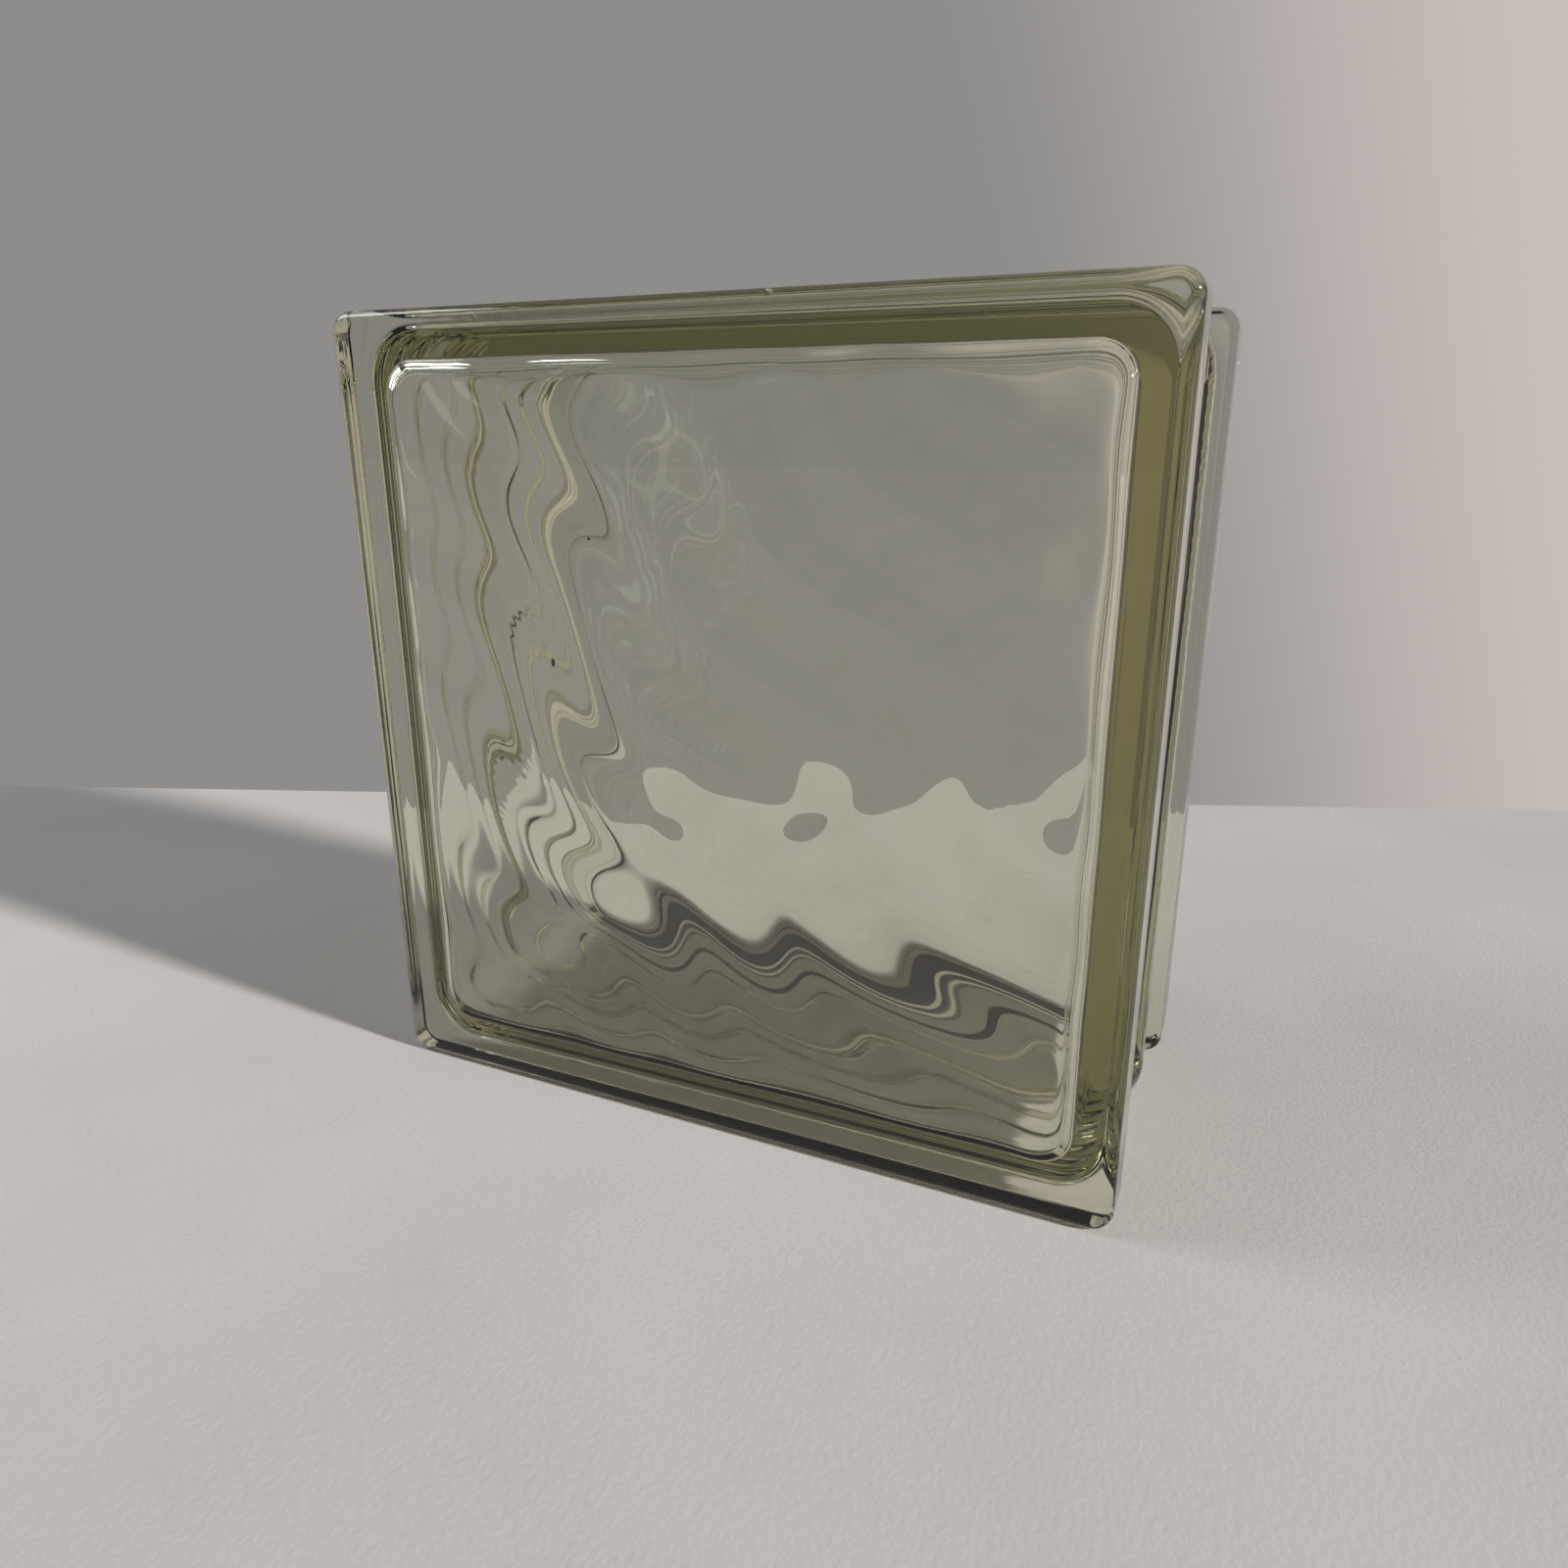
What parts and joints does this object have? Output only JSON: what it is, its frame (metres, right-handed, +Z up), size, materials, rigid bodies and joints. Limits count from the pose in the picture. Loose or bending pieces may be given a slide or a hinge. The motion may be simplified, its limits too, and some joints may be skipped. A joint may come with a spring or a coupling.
{
  "type": "glass block",
  "caption": "Square hollow glass block with flat faces, waves on their insides, and flanges with a mortar groove between them, for building light walls.",
  "frame": {"origin": "middle of the underside, on the surface that the block stands on", "axes": "+X across the front face to the right, +Y from the front face to the rear face, +Z up"},
  "size_m": [0.197, 0.098, 0.197],
  "materials": {
    "glass": "clear pressed soda-lime glass with a grey-green tint, fire-polished and glossy"
  },
  "bodies": {
    "root": {"glass_block": "glass"}
  },
  "joints": []
}
